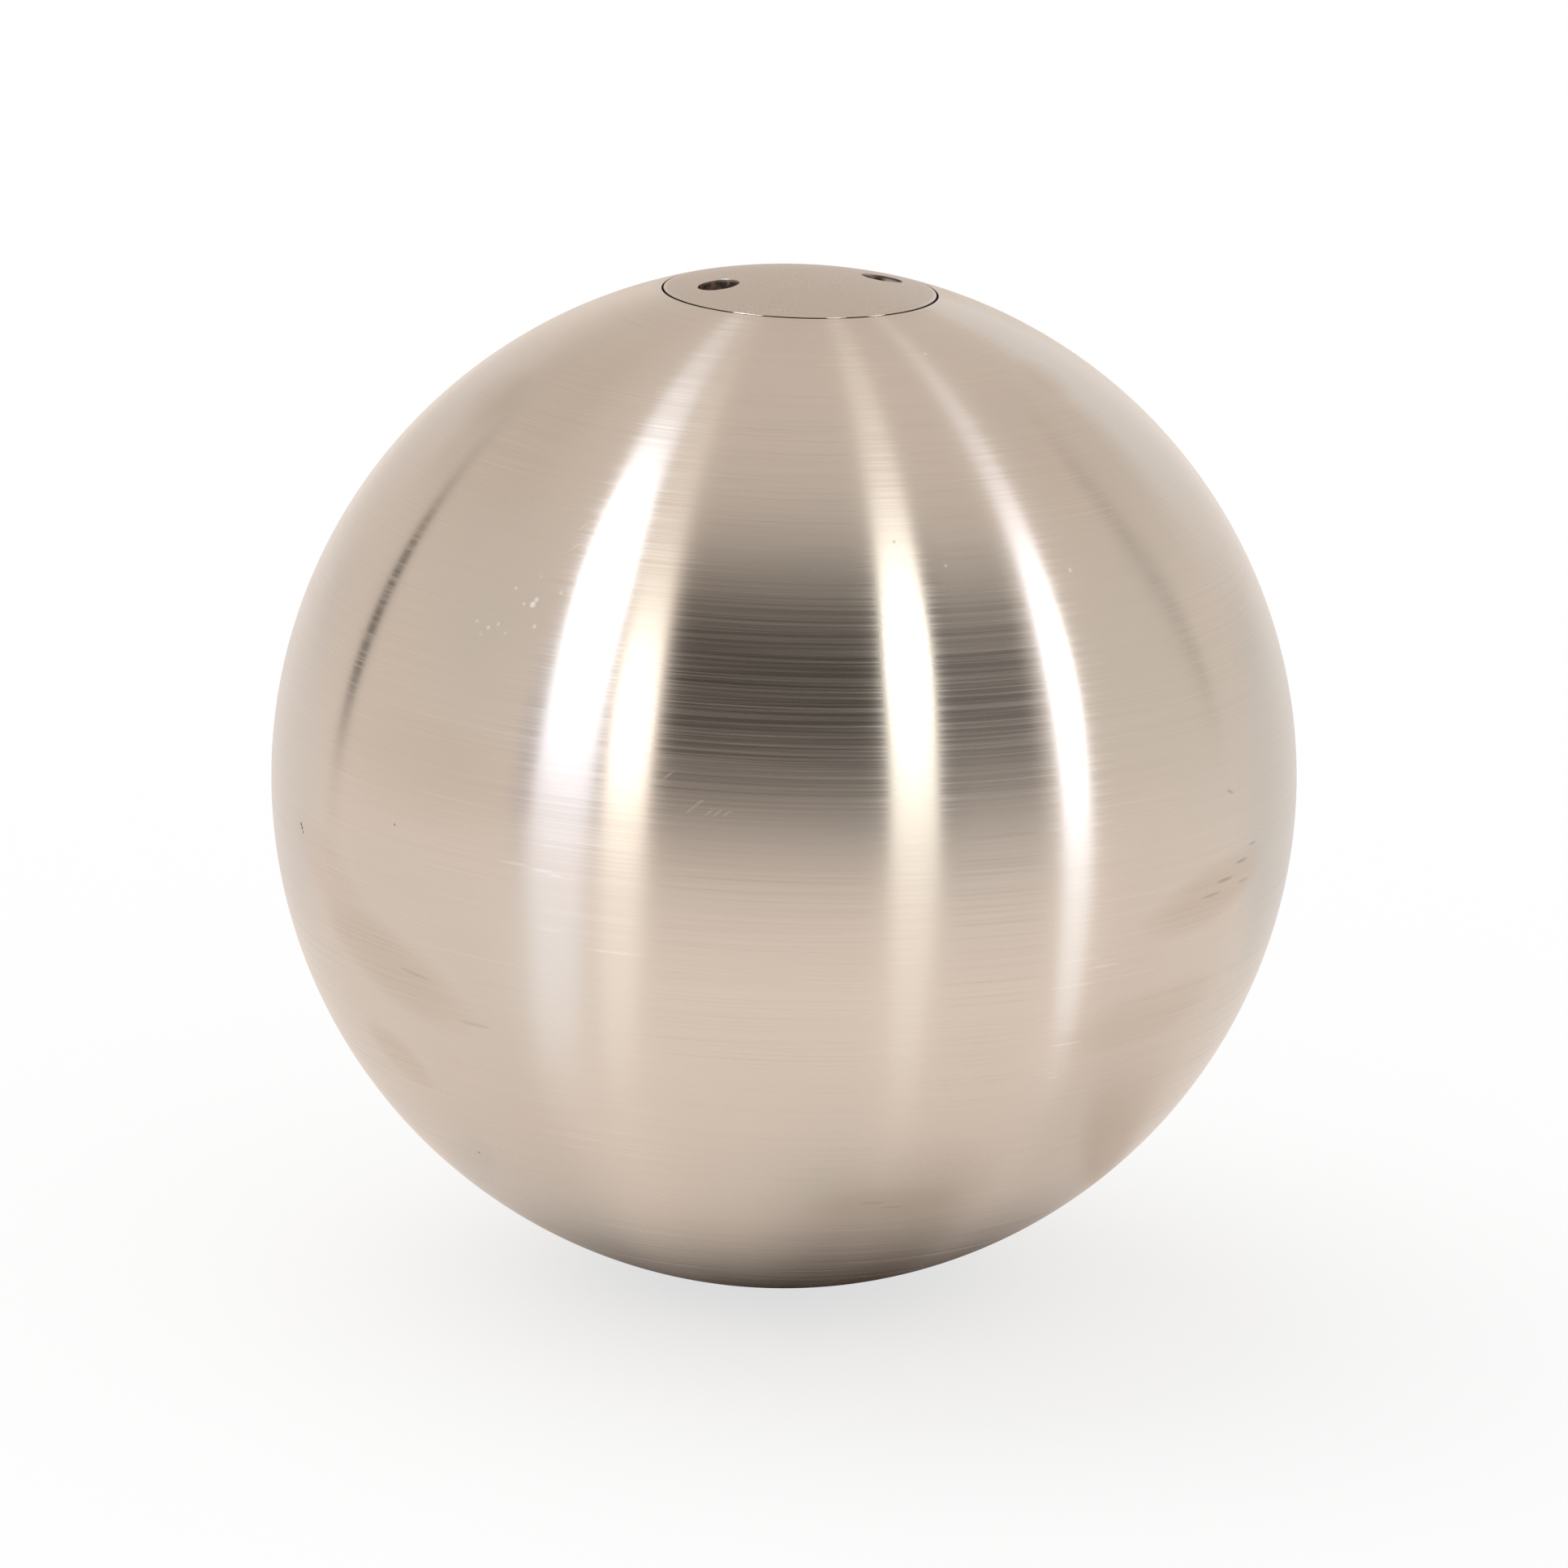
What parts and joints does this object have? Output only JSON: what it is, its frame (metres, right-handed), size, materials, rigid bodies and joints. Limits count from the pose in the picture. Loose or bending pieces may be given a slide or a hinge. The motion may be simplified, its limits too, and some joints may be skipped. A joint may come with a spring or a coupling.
{
  "type": "shot put",
  "caption": "Round competition shot: brushed stainless ball with a flush screw plug at the top that takes a two-pin spanner and closes the pellet well.",
  "frame": {"origin": "centre of the ball", "axes": "+Z through the centre of the screw plug, -Y towards the side that the reference view shows, +X to its right"},
  "size_m": [0.125, 0.125, 0.1247],
  "materials": {
    "shell_steel": "satin",
    "plug_steel": "satin",
    "ring_steel": "matte",
    "ballast": "matte",
    "pellet_lead": "matte",
    "pad_felt": "matte",
    "gasket_rubber": "matte"
  },
  "bodies": {
    "shot_body": {"upper_shell": "shell_steel", "lower_shell": "shell_steel", "backing_ring": "ring_steel", "ballast_core": "ballast", "packing_pad": "pad_felt", "pellet_1_middle": "pellet_lead", "pellet_1_1": "pellet_lead", "pellet_1_2": "pellet_lead", "pellet_1_3": "pellet_lead", "pellet_1_4": "pellet_lead", "pellet_1_5": "pellet_lead", "pellet_1_6": "pellet_lead", "pellet_2_middle": "pellet_lead", "pellet_2_1": "pellet_lead", "pellet_2_2": "pellet_lead", "pellet_2_3": "pellet_lead", "pellet_2_4": "pellet_lead", "pellet_2_5": "pellet_lead", "pellet_2_6": "pellet_lead", "pellet_3_middle": "pellet_lead", "pellet_3_1": "pellet_lead", "pellet_3_2": "pellet_lead", "pellet_3_3": "pellet_lead", "pellet_3_4": "pellet_lead", "pellet_3_5": "pellet_lead", "pellet_3_6": "pellet_lead"},
    "gasket": {"plug_gasket": "gasket_rubber"},
    "plug": {"screw_plug": "plug_steel"}
  },
  "joints": [
    {"name": "plug_lift", "type": "slide", "parent": "shot_body", "child": "gasket", "axis": [0, 0, 1], "range_m": [0, 0.012]},
    {"name": "plug_turn", "type": "hinge", "parent": "gasket", "child": "plug", "pos_m": [0, 0, 0.055], "axis": [0, 0, 1], "range_deg": [0, 2160]}
  ],
  "couplings": [
    {"joint": "plug_turn", "follows": "plug_lift", "rad_per_m": 3141.6}
  ]
}
